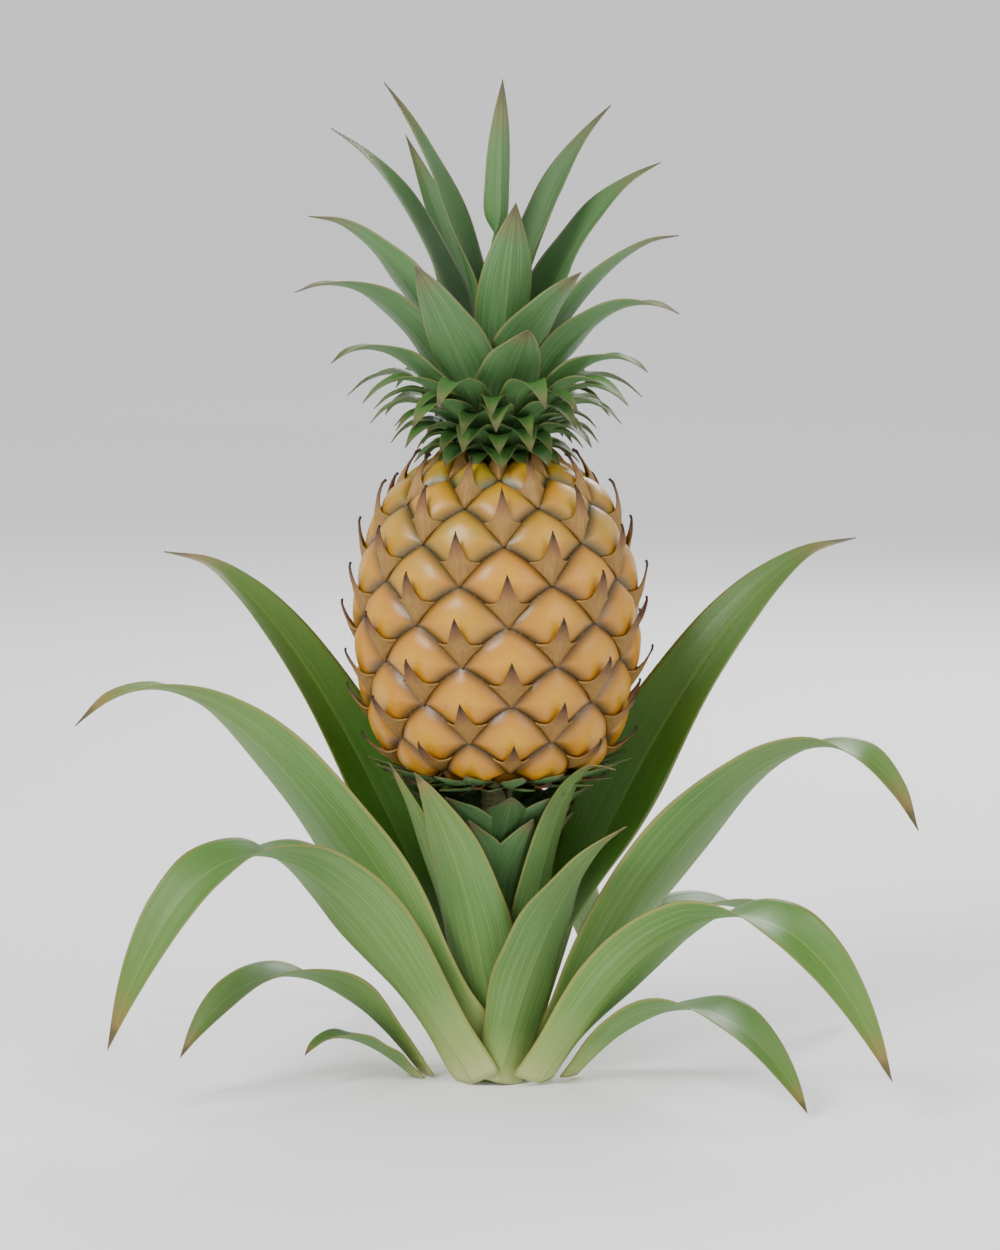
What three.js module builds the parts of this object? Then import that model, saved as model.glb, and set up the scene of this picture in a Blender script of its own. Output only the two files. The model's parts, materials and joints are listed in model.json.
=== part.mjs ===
// A pineapple plant in fruit, in millimetres, +Z up.
//
// The plant stands on its flat-cut stem at z = 0 with the stem on the z axis.
// Strap leaves clasp the stem one inside the next, arch out and taper to a
// point. The fruit sits on top of the stem, and its crown is a second, smaller
// rosette. Every leaf is one thin closed blade. A leaf that arches over a wide
// gap is two solids, split where it bends.

import * as THREE from 'three';

// ---- driving dimensions ---------------------------------------------------

const CLEARANCE = 0.3; // between solids that touch on the plant

const STEM_FOOT_RADIUS = 31;
const STEM_SHOULDER_RADIUS = 27;
const STEM_FLARE_HEIGHT = 12;
const STEM_NECK_RADIUS = 11;
const STEM_NECK_HEIGHT = 46;
const STEM_SIDES = 24;

const FRUIT_BOTTOM = 205;
const FRUIT_TOP = 414;
// The fruit's outline from its top edge down, as radius and height.
const FRUIT_OUTLINE = [
  [26, FRUIT_TOP], [48, 404], [72, 383], [85, 350], [91, 316],
  [90, 280], [82, 240], [67, 214], [44, 206], [12, FRUIT_BOTTOM],
];
const FRUIT_HALF_ROWS = 11; // half an eye's height each
const EYES_PER_TURN = 9;
const EYE_RELIEF = 2.5; // how far the middle of an eye stands above its edge
const SPIKE_LENGTH = 3; // the bract's point, on top of the relief
const SPIKE_LIFT = 3;
const FRUIT_TWIST = 0.75; // degrees that the eye rows turn per half row
const FRUIT_FRONT = -69; // bearing of the column of eyes that faces front

const LEAF_STATIONS = 12; // cross-sections along a rosette leaf
const LEAF_THICKNESS = 1.9;
const LEAF_SHELL_PITCH = 1.9; // radius lost from each leaf to the next one in
const LEAF_OUTER_SHELL = 56;
const LEAF_LOWEST_FOOT = 0.5;
const LEAF_FOOT_STEP = 2.2; // height gained from each leaf's foot to the next one in
const LEAF_CHANNEL_ANGLE = 0.62; // radians either side of the midrib
const TIP_THINNING = 0.6; // share of a leaf's thickness lost from foot to tip

const CROWN_STATIONS = 9;
const CROWN_THICKNESS = 1.2;
const CROWN_CHANNEL_ANGLE = 0.6;
const CROWN_OUTER_SHELL = 19;
const CROWN_SHELL_PITCH = 0.72;
const CROWN_FOOT_STEP = 1.6;
const CROWN_STEM_RADIUS = 4;
const CROWN_STEM_HEIGHT = 22;

const SKIRT_LEAVES = 9;
const SKIRT_STATIONS = 6;
const SKIRT_HUB_RADIUS = 20;
const SKIRT_HUB_HEIGHT = 3.2;
const SKIRT_FOOT_SHARE = 0.8; // a small leaf's width at its foot, as a share of its widest
const SKIRT_CHANNEL = 0.3; // how far a small leaf's edges lift, as a share of its half width
const CROWN_BASE = FRUIT_TOP + CLEARANCE + 4 * (SKIRT_HUB_HEIGHT + CLEARANCE);

const GRID_PER_MM = 128;
const DEGREE = Math.PI / 180;
const SHALLOWEST_HUG = 0.2; // sine of the slope below which a blade hugs no more closely
const TANGENT_STEP = 0.004; // share of a leaf's length over which its direction is taken

// ---- materials ------------------------------------------------------------

const finish = (color, roughness) => new THREE.MeshStandardMaterial({ color, roughness, metalness: 0 });
const LEAF_GREEN = finish(0x5f8a3c, 0.55);
const CROWN_GREEN = finish(0x4f7f3a, 0.55);
const FRUIT_GOLD = finish(0xc98f2c, 0.6);
const STEM_GREEN = finish(0x8a9455, 0.75);

// ---- the leaves -----------------------------------------------------------

// One row a leaf, outermost first. "from" and "to" are the bearings of the leaf's
// foot and tip in degrees, anticlockwise from +X, so -90 faces front. "reach" and
// "height" place the tip, "launch" and "arrive" are the midrib's slopes at foot
// and tip in degrees, "width" is the blade's widest, "turn" rolls the blade about
// its midrib, and "split" is how far along it a bent leaf is split.
const leafRow = (name, from, to, reach, height, launch, arrive, width, turn, split = 0) =>
  ({ name, from, to, reach, height, launch, arrive, width, turn, split });

const ROSETTE = [
  leafRow('leaf_left_lowest', -166, -156, 138, 24, 42, -46, 32, 26),
  leafRow('leaf_right_low_front', -16, -35, 242, 4, 47, -54, 46, -38, 0.5),
  leafRow('leaf_left_low', -172, -158, 222, 28, 53, -56, 48, 40, 0.5),
  leafRow('leaf_right_arch', -53, -33, 298, 30, 57, -64, 56, -42, 0.48),
  leafRow('leaf_back_low_right', 70, 74, 262, 10, 55, -60, 44, 10, 0.48),
  leafRow('leaf_left_arch', -116, -150, 286, 46, 63, -70, 56, 42, 0.48),
  leafRow('leaf_back_low_left', 118, 107, 258, 12, 57, -56, 44, -10, 0.48),
  leafRow('leaf_front_middle', -84, -44, 116, 180, 82, 36, 50, 14),
  leafRow('leaf_right_arch_rear', 18, 33, 296, 8, 52, -54, 42, 24, 0.48),
  leafRow('leaf_left_arch_rear', 164, 147, 312, 8, 56, -64, 42, -24, 0.48),
  leafRow('leaf_right_mid', -22, -20, 288, 180, 60, -66, 60, -44, 0.6),
  leafRow('leaf_left_mid', -112, -163, 284, 246, 64, -46, 60, 44, 0.62),
  leafRow('leaf_back_mid_right', 62, 60, 190, 168, 70, -26, 46, 14),
  leafRow('leaf_back_mid_left', 128, 119, 196, 172, 71, -26, 46, -14),
  leafRow('leaf_front_left', -94, -122, 100, 216, 82, 52, 50, 10),
  leafRow('leaf_front_right', -62, -38, 98, 214, 84, -24, 31, -18),
  leafRow('leaf_front_left_narrow', -118, -143, 88, 218, 80, 62, 30, 8),
  leafRow('leaf_right_high_rear', 32, 30, 160, 254, 69, 12, 44, 26),
  leafRow('leaf_left_high_rear', 148, 148, 155, 254, 70, 8, 42, -26),
  leafRow('leaf_right_high', 12, 12, 246, 354, 67, 2, 65, 46),
  leafRow('leaf_left_high', 170, 168, 228, 345, 68, -2, 58, -40),
  leafRow('leaf_back_high', 88, 88, 215, 322, 76, 12, 46, 0),
];

// The profile of a leaf's midrib, as radius against height: a smooth bend from
// the launch slope to the arrive slope, through the point where the two lines meet.
function midribProfile(foot, row) {
  const tip = new THREE.Vector2(row.reach, row.height);
  const rise = new THREE.Vector2(Math.cos(row.launch * DEGREE), Math.sin(row.launch * DEGREE));
  const fall = new THREE.Vector2(Math.cos(row.arrive * DEGREE), Math.sin(row.arrive * DEGREE));
  const span = tip.clone().sub(foot);
  const alongRise = span.cross(fall) / rise.cross(fall);
  const bend = foot.clone().addScaledVector(rise, alongRise);
  return new THREE.QuadraticBezierCurve(foot, bend, tip);
}

// The midrib's point at a fraction of its length. In plan it runs straight from
// the foot to the tip; its distance from the axis and its height follow the profile.
function midribPoint(curve, row, fraction) {
  const [foot, tip] = [curve.v0.x, curve.v2.x];
  const start = new THREE.Vector2(foot, 0).rotateAround(new THREE.Vector2(), row.from * DEGREE);
  const end = new THREE.Vector2(tip, 0).rotateAround(new THREE.Vector2(), row.to * DEGREE);
  const heading = end.sub(start).normalize();
  const at = curve.getPointAt(fraction);
  const closest = start.dot(heading);
  const along = Math.sqrt(Math.max(at.x ** 2 - foot ** 2 + closest ** 2, 0)) - closest;
  const plan = start.addScaledVector(heading, along);
  return new THREE.Vector3(plan.x, plan.y, at.y);
}

// Half of the blade's width: a clasping foot, widest a third of the way up, and
// a long taper to the point.
function halfWidth(fraction, width, footShare) {
  const swell = footShare + (1 - footShare) * THREE.MathUtils.smoothstep(fraction, 0, 0.35);
  const taper = 1 - Math.max((fraction - 0.35) / 0.65, 0) ** 2;
  return 0.5 * width * swell * taper;
}

// The blade between two fractions of its length, as one closed body: a channelled
// section at each station, capped at its ends, with a single vertex at the tip. The
// upper face is cut along the same diagonals as the underside, so that the two stay
// parallel where the blade twists.
// Near its foot a blade hugs the cone that its midrib lies on, so that leaves whose
// profiles nest can't cut each other; further out it rolls by its "turn".
function bladeGeometry(row, foot, style, begin, end) {
  const curve = midribProfile(foot, row);
  const sides = style.section.length;
  const stations = Math.max(3, Math.round(style.stations * (end - begin)));
  const positions = [];
  for (let k = 0; k <= stations; k += 1) {
    const fraction = begin + ((end - begin) * k) / stations;
    const here = midribPoint(curve, row, fraction);
    if (fraction === 1) {
      positions.push(here.x, here.y, here.z);
      continue;
    }
    const ahead = midribPoint(curve, row, Math.min(fraction + TANGENT_STEP, 1)).sub(here).normalize();
    const slope = curve.getTangentAt(fraction);
    const normal = new THREE.Vector3(here.x, here.y, 0).normalize().multiplyScalar(-slope.y);
    normal.z = slope.x;
    normal.addScaledVector(ahead, -normal.dot(ahead)).normalize();
    const across = normal.clone().cross(ahead).normalize();
    const radius = Math.hypot(here.x, here.y);
    const clear = THREE.MathUtils.smoothstep(radius, foot.x, foot.x + style.hugFor);
    const roll = row.turn * DEGREE * slope.y * clear;
    across.applyAxisAngle(ahead, roll);
    normal.applyAxisAngle(ahead, roll);
    const half = halfWidth(fraction, row.width, style.footShare);
    const hug = radius / Math.max(slope.y, SHALLOWEST_HUG);
    const fold = Math.min(hug, Math.max(half / style.channelAngle, style.minimumFold));
    const thickness = style.thickness * (1 - TIP_THINNING * fraction);
    for (const [side, layer] of style.section) {
      const angle = (side * half) / fold;
      const lift = fold * (1 - Math.cos(angle)) + layer * thickness;
      const point = here.clone();
      point.addScaledVector(across, (fold - layer * thickness) * Math.sin(angle));
      point.addScaledVector(normal, lift);
      positions.push(point.x, point.y, point.z);
    }
  }
  const faces = [];
  const ring = (k, i) => k * sides + (i % sides);
  const pointed = end === 1;
  const lastRing = pointed ? stations - 1 : stations;
  for (let k = 0; k < lastRing; k += 1) {
    for (let i = 0; i < sides; i += 1) {
      const [a, b] = [ring(k, i), ring(k, i + 1)];
      const [c, d] = [ring(k + 1, i + 1), ring(k + 1, i)];
      const underside = i < sides / 2;
      if (underside) faces.push(a, b, c, a, c, d);
      else faces.push(a, b, d, b, c, d);
    }
  }
  for (let i = 0; pointed && i < sides; i += 1) {
    faces.push(ring(lastRing, i), ring(lastRing, i + 1), stations * sides);
  }
  for (const [a, b, c] of style.cap) {
    faces.push(ring(0, a), ring(0, c), ring(0, b));
    if (!pointed) faces.push(ring(lastRing, a), ring(lastRing, b), ring(lastRing, c));
  }
  return closedGeometry(positions, faces);
}

// A geometry from positions and faces, turned inside out where its volume is negative.
function closedGeometry(positions, faces) {
  const at = (i) => new THREE.Vector3().fromArray(positions, 3 * i);
  let volume = 0;
  for (let i = 0; i < faces.length; i += 3) {
    volume += at(faces[i]).dot(at(faces[i + 1]).cross(at(faces[i + 2])));
  }
  const outward = volume > 0 ? faces : faces.slice().reverse();
  const geometry = new THREE.BufferGeometry();
  geometry.setAttribute('position', new THREE.Float32BufferAttribute(positions, 3));
  geometry.setIndex(outward);
  geometry.computeVertexNormals();
  return geometry;
}

// A rosette leaf's section has eight corners, a crown leaf's four: each corner is
// its place across the blade and whether it is on the lower or the upper face.
const ROSETTE_STYLE = {
  section: [[-1, 0.2], [-0.5, 0], [0, 0], [0.5, 0], [1, 0.2], [0.5, 1], [0, 1], [-0.5, 1]],
  cap: [[0, 1, 7], [1, 2, 7], [2, 6, 7], [2, 3, 6], [3, 5, 6], [3, 4, 5]],
  stations: LEAF_STATIONS,
  thickness: LEAF_THICKNESS,
  channelAngle: LEAF_CHANNEL_ANGLE,
  minimumFold: 8,
  footShare: 0.72,
  hugFor: 70,
};
const CROWN_STYLE = {
  section: [[-1, 0.3], [0, 0], [1, 0.3], [0, 1]],
  cap: [[0, 1, 3], [1, 2, 3]],
  stations: CROWN_STATIONS,
  thickness: CROWN_THICKNESS,
  channelAngle: CROWN_CHANNEL_ANGLE,
  minimumFold: 4,
  footShare: 0.4,
  hugFor: 20,
};

const plant = new THREE.Group();

// Every vertex is moved to a fine grid that 32-bit numbers hold exactly, so that
// faces which share a corner agree on it to the last digit.
function addMesh(name, geometry, material) {
  const corners = geometry.getAttribute('position').array;
  corners.forEach((value, i) => { corners[i] = Math.round(value * GRID_PER_MM) / GRID_PER_MM; });
  const mesh = new THREE.Mesh(geometry, material);
  mesh.name = name;
  plant.add(mesh);
}

function addLeaf(row, foot, style, material) {
  if (!row.split) {
    addMesh(row.name, bladeGeometry(row, foot, style, 0, 1), material);
    return;
  }
  const gap = CLEARANCE / midribProfile(foot, row).getLength();
  addMesh(`${row.name}_lower`, bladeGeometry(row, foot, style, 0, row.split), material);
  addMesh(`${row.name}_upper`, bladeGeometry(row, foot, style, row.split + gap, 1), material);
}

ROSETTE.forEach((row, i) => {
  const radius = LEAF_OUTER_SHELL - i * LEAF_SHELL_PITCH;
  const foot = new THREE.Vector2(radius, LEAF_LOWEST_FOOT + i * LEAF_FOOT_STEP);
  addLeaf(row, foot, ROSETTE_STYLE, LEAF_GREEN);
});

// ---- the crown ------------------------------------------------------------

// Skirts of small leaves, lowest first, where "from" turns the whole skirt.
const SKIRTS = [
  leafRow('crown_collar', 30, 0, 56, 409, 30, -50, 24, 0),
  leafRow('crown_skirt_1', 10, 0, 70, 421, 44, -55, 24, 0),
  leafRow('crown_skirt_2', 30, 0, 86, 436, 52, -50, 24, 0),
  leafRow('crown_skirt_3', 10, 0, 101, 452, 58, -45, 25, 0),
];

const CROWN = [
  leafRow('crown_left_1', -175, -164, 112, 476, 56, -38, 34, 24),
  leafRow('crown_right_1', -5, -16, 102, 470, 56, -38, 34, -24),
  leafRow('crown_back_1', 95, 100, 98, 476, 54, -30, 32, 0),
  leafRow('crown_front_1', -84, -74, 74, 500, 74, 40, 46, 0),
  leafRow('crown_left_2', 178, -166, 135, 522, 63, -22, 37, 40),
  leafRow('crown_right_2', 2, -14, 122, 508, 62, -26, 40, -32),
  leafRow('crown_back_2', 70, 60, 105, 520, 64, -4, 34, 0),
  leafRow('crown_front_left', -115, -131, 80, 541, 77, 56, 45, 18),
  leafRow('crown_left_3', -178, -168, 125, 571, 66, 2, 42, 32),
  leafRow('crown_right_3', 20, -4, 119, 558, 64, 4, 41, -20),
  leafRow('crown_back_3', 118, 126, 92, 560, 71, 30, 36, 0),
  leafRow('crown_front_right', -88, -52, 88, 537, 77, 36, 39, -6),
  leafRow('crown_left_4', 178, 178, 108, 627, 77, 32, 38, -22),
  leafRow('crown_right_4', 8, 2, 107, 605, 74, 26, 46, 28),
  leafRow('crown_left_rear', 104, 127, 102, 622, 67, 56, 28, 0),
  leafRow('crown_front_2', -84, -72, 40, 580, 87, 74, 45, -4),
  leafRow('crown_left_5', 170, 174, 74, 657, 87, 56, 36, -18),
  leafRow('crown_right_5', 12, 8, 75, 642, 84, 48, 48, 18),
  leafRow('crown_centre', -120, -68, 10, 659, 89, 86, 34, 0),
];

CROWN.forEach((row, i) => {
  const radius = CROWN_OUTER_SHELL - i * CROWN_SHELL_PITCH;
  const foot = new THREE.Vector2(radius, CROWN_BASE + i * CROWN_FOOT_STEP);
  addLeaf(row, foot, CROWN_STYLE, CROWN_GREEN);
});

// ---- the skirts of small leaves under the crown ----------------------------

// One skirt is a hub disc whose rim runs out into recurved leaves, all one body.
function skirtGeometry(skirt, floor) {
  const foot = new THREE.Vector2(SKIRT_HUB_RADIUS, floor + SKIRT_HUB_HEIGHT / 2);
  const curve = midribProfile(foot, skirt);
  const positions = [0, 0, floor, 0, 0, floor + SKIRT_HUB_HEIGHT];
  const faces = [];
  const [hubBottom, hubTop] = [0, 1];
  const pitch = (2 * Math.PI) / SKIRT_LEAVES;
  const put = (radius, bearing, height) => {
    positions.push(radius * Math.cos(bearing), radius * Math.sin(bearing), height);
    return positions.length / 3 - 1;
  };
  const corners = [];
  for (let k = 0; k < SKIRT_LEAVES; k += 1) {
    corners.push(put(foot.x, (k + 0.5) * pitch + skirt.from * DEGREE, foot.y));
  }
  for (let k = 0; k < SKIRT_LEAVES; k += 1) {
    const bearing = k * pitch + skirt.from * DEGREE;
    const before = corners[(k + SKIRT_LEAVES - 1) % SKIRT_LEAVES];
    const under = put(foot.x, bearing, floor);
    const over = put(foot.x, bearing, floor + SKIRT_HUB_HEIGHT);
    let section = [before, under, corners[k], over];
    faces.push(hubTop, before, over, hubTop, over, corners[k]);
    faces.push(hubBottom, under, before, hubBottom, corners[k], under);
    for (let j = 1; j < SKIRT_STATIONS; j += 1) {
      const fraction = j / SKIRT_STATIONS;
      const at = curve.getPointAt(fraction);
      const half = halfWidth(fraction, skirt.width, SKIRT_FOOT_SHARE);
      const thick = 0.5 * CROWN_THICKNESS * (1 - TIP_THINNING * fraction);
      const edge = Math.atan2(half, at.x);
      const edgeRadius = Math.hypot(half, at.x);
      const next = [
        put(edgeRadius, bearing - edge, at.y + half * SKIRT_CHANNEL),
        put(at.x, bearing, at.y - thick),
        put(edgeRadius, bearing + edge, at.y + half * SKIRT_CHANNEL),
        put(at.x, bearing, at.y + thick),
      ];
      for (let i = 0; i < 4; i += 1) {
        const n = (i + 1) % 4;
        faces.push(section[i], section[n], next[n], section[i], next[n], next[i]);
      }
      section = next;
    }
    const tip = put(skirt.reach, bearing, skirt.height);
    for (let i = 0; i < 4; i += 1) faces.push(section[i], section[(i + 1) % 4], tip);
  }
  return closedGeometry(positions, faces);
}

SKIRTS.forEach((skirt, i) => {
  const floor = FRUIT_TOP + CLEARANCE + i * (SKIRT_HUB_HEIGHT + CLEARANCE);
  addMesh(skirt.name, skirtGeometry(skirt, floor), CROWN_GREEN);
});

// ---- the fruit ------------------------------------------------------------

// The fruit is a net of diamond eyes wrapped round its outline. Every other row of
// the net holds the eyes' corners and middles by turns, and the rows between hold
// the middles of their edges. Each eye's middle stands out as a blunt point.
function fruitGeometry() {
  const outline = new THREE.SplineCurve(FRUIT_OUTLINE.map(([radius, z]) => new THREE.Vector2(radius, z)));
  const rows = 2 * FRUIT_HALF_ROWS;
  const columns = 2 * EYES_PER_TURN;
  const positions = [];
  for (let row = 0; row <= rows; row += 1) {
    const at = outline.getPointAt(row / rows);
    const slope = outline.getTangentAt(row / rows);
    for (let column = 0; column < columns; column += 1) {
      const turn = 2 * column + (row % 2);
      const middle = row > 0 && row < rows && row % 2 === 0 && (row / 2 + column) % 2 === 1;
      const rise = middle ? EYE_RELIEF + SPIKE_LENGTH : 0;
      const radius = at.x - slope.y * rise;
      const z = at.y + slope.x * rise + (middle ? SPIKE_LIFT : 0);
      const bearing = ((turn * 360) / (2 * columns) + FRUIT_FRONT + (row / 2) * FRUIT_TWIST) * DEGREE;
      positions.push(radius * Math.cos(bearing), radius * Math.sin(bearing), z);
    }
  }
  const bottom = positions.length / 3;
  positions.push(0, 0, FRUIT_BOTTOM, 0, 0, FRUIT_TOP);
  const faces = [];
  for (let row = 0; row < rows; row += 1) {
    for (let column = 0; column < columns; column += 1) {
      const next = (column + 1) % columns;
      const [here, there] = [row * columns, (row + 1) * columns];
      if (row % 2 === 0) {
        faces.push(here + column, here + next, there + column);
        faces.push(here + next, there + next, there + column);
      } else {
        faces.push(here + column, here + next, there + next);
        faces.push(here + column, there + next, there + column);
      }
    }
  }
  for (let column = 0; column < columns; column += 1) {
    const next = (column + 1) % columns;
    faces.push(rows * columns + column, rows * columns + next, bottom);
    faces.push(next, column, bottom + 1);
  }
  return closedGeometry(positions, faces);
}

addMesh('fruit', fruitGeometry(), FRUIT_GOLD);

// ---- the stem of the plant and of its crown --------------------------------

function stemGeometry(outline) {
  const points = outline.map(([radius, z]) => new THREE.Vector2(radius, z));
  return new THREE.LatheGeometry(points, STEM_SIDES).rotateX(Math.PI / 2);
}

addMesh('stem', stemGeometry([
  [0, 0],
  [STEM_FOOT_RADIUS, 0],
  [STEM_SHOULDER_RADIUS, STEM_FLARE_HEIGHT],
  [STEM_NECK_RADIUS, STEM_NECK_HEIGHT],
  [STEM_NECK_RADIUS, FRUIT_BOTTOM - CLEARANCE],
  [0, FRUIT_BOTTOM - CLEARANCE],
]), STEM_GREEN);

addMesh('crown_stem', stemGeometry([
  [0, CROWN_BASE],
  [CROWN_STEM_RADIUS, CROWN_BASE],
  [CROWN_STEM_RADIUS / 2, CROWN_BASE + CROWN_STEM_HEIGHT],
  [0, CROWN_BASE + CROWN_STEM_HEIGHT],
]), STEM_GREEN);

export default plant;
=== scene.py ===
# %% [markdown]
# # A pineapple plant in fruit
# The plant is a rosette of stiff strap leaves round a short stem. One fruit stands on the stem, and
# a second, smaller rosette grows out of its top: the crown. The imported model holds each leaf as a
# plain thin blade and the fruit as a faceted solid. This script keeps those sizes and places, and
# puts living surfaces over them: channelled leaves with a midrib, and a rind of eyes and bracts.

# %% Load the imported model
import json
import math
import random
from itertools import combinations

import bmesh
import bpy
import numpy as np
from mathutils import Matrix, Vector

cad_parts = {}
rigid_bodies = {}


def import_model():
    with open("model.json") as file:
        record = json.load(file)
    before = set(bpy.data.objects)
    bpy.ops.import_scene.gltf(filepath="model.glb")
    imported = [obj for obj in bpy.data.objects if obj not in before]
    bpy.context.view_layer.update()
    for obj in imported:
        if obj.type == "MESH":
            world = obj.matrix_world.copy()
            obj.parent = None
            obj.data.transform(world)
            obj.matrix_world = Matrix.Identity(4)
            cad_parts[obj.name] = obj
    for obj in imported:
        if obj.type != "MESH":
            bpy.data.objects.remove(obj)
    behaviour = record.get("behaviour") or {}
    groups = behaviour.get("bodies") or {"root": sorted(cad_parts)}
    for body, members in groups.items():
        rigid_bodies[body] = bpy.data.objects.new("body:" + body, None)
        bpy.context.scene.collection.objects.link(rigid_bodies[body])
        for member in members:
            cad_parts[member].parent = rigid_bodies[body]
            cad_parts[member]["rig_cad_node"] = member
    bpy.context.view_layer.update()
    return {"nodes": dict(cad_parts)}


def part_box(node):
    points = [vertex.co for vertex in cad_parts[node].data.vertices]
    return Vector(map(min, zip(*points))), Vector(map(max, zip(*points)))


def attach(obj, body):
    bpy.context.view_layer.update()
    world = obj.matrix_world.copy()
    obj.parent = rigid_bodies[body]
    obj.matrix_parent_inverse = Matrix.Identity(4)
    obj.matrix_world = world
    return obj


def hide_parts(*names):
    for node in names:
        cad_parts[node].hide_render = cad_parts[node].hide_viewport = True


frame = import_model()
random.seed(7)
print("nodes in the frame:", len(frame["nodes"]))

# %% [markdown]
# ## Camera
# A long lens from three metres away keeps the leaves' proportions, as in a botanical plate. The
# camera looks along +Y and seven degrees down, with the fruit in the middle of a portrait image.

# %% Camera
CAMERA_DISTANCE = 3.0
CAMERA_TILT = math.radians(7)
VIEW_HEIGHT = 0.825  # metres seen from top to bottom of the image at the plant
SENSOR = 36.0
aim = Vector((0.002, 0.0, 0.301))

camera_data = bpy.data.cameras.new("camera")
camera_data.sensor_width = SENSOR
camera_data.lens = SENSOR * CAMERA_DISTANCE / VIEW_HEIGHT
camera = bpy.data.objects.new("camera", camera_data)
back_off = Vector((0.0, -math.cos(CAMERA_TILT), math.sin(CAMERA_TILT)))
camera.location = aim + CAMERA_DISTANCE * back_off
camera.rotation_euler = (math.pi / 2 - CAMERA_TILT, 0.0, 0.0)
bpy.context.scene.collection.objects.link(camera)
bpy.context.scene.camera = camera
print("lens in mm:", round(camera_data.lens, 1))

# %% [markdown]
# ## Node helpers
# Every finish here is a small node tree. These helpers add a node with its inputs in one line: an
# input is either a plain value or another node's output.

# %% Node helpers
def add_node(tree, kind, settings=None, **inputs):
    node = tree.nodes.new(kind)
    for name, value in (settings or {}).items():
        setattr(node, name, value)
    for name, value in inputs.items():
        socket = node.inputs[name.replace("_", " ")]
        if isinstance(value, bpy.types.NodeSocket):
            tree.links.new(value, socket)
        else:
            socket.default_value = value
    return node


def blend_colours(tree, amount, first, second, how="MIX"):
    node = tree.nodes.new("ShaderNodeMix")
    node.data_type = "RGBA"
    node.blend_type = how
    for socket, value in ((node.inputs[0], amount), (node.inputs[6], first), (node.inputs[7], second)):
        if isinstance(value, bpy.types.NodeSocket):
            tree.links.new(value, socket)
        else:
            socket.default_value = value
    return node.outputs[2]


def colour_ramp(tree, amount, stops):
    node = add_node(tree, "ShaderNodeValToRGB", Fac=amount)
    elements = node.color_ramp.elements
    while len(elements) < len(stops):
        elements.new(1.0)
    for element, (place, colour) in zip(elements, stops):
        element.position = place
        element.color = colour
    return node.outputs["Color"]


def grey(level):
    return (level, level, level, 1.0)


def start_material(name, roughness, **shader_inputs):
    material = bpy.data.materials.new(name)
    material.use_nodes = True
    tree = material.node_tree
    shader = tree.nodes["Principled BSDF"]
    shader.inputs["Roughness"].default_value = roughness
    for socket, value in shader_inputs.items():
        shader.inputs[socket.replace("_", " ")].default_value = value
    return material, tree, shader


def stretched_noise(tree, coordinates, scale, detail=4.0):
    mapping = add_node(tree, "ShaderNodeMapping", Vector=coordinates, Scale=scale)
    placed = mapping.outputs["Vector"]
    return add_node(tree, "ShaderNodeTexNoise", Vector=placed, Scale=1.0, Detail=detail).outputs["Fac"]


def roughen(tree, shader, height, strength, distance):
    bump = add_node(tree, "ShaderNodeBump", Height=height, Strength=strength, Distance=distance)
    tree.links.new(bump.outputs["Normal"], shader.inputs["Normal"])


# %% [markdown]
# ## Leaf finish
# A pineapple leaf is waxy green above, and below it carries pale scurf in fine stripes. It is
# cream where it clasps the stem, and its needle tip dries brown. The stripes run along the leaf, so
# the pattern can't be in space: it reads the leaf's own map, which holds the place across the leaf
# and the place along it. The same recipe with other colours serves both faces and the crown.

# %% Leaf finish
LEAF_MAP = "across_and_along"


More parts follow.
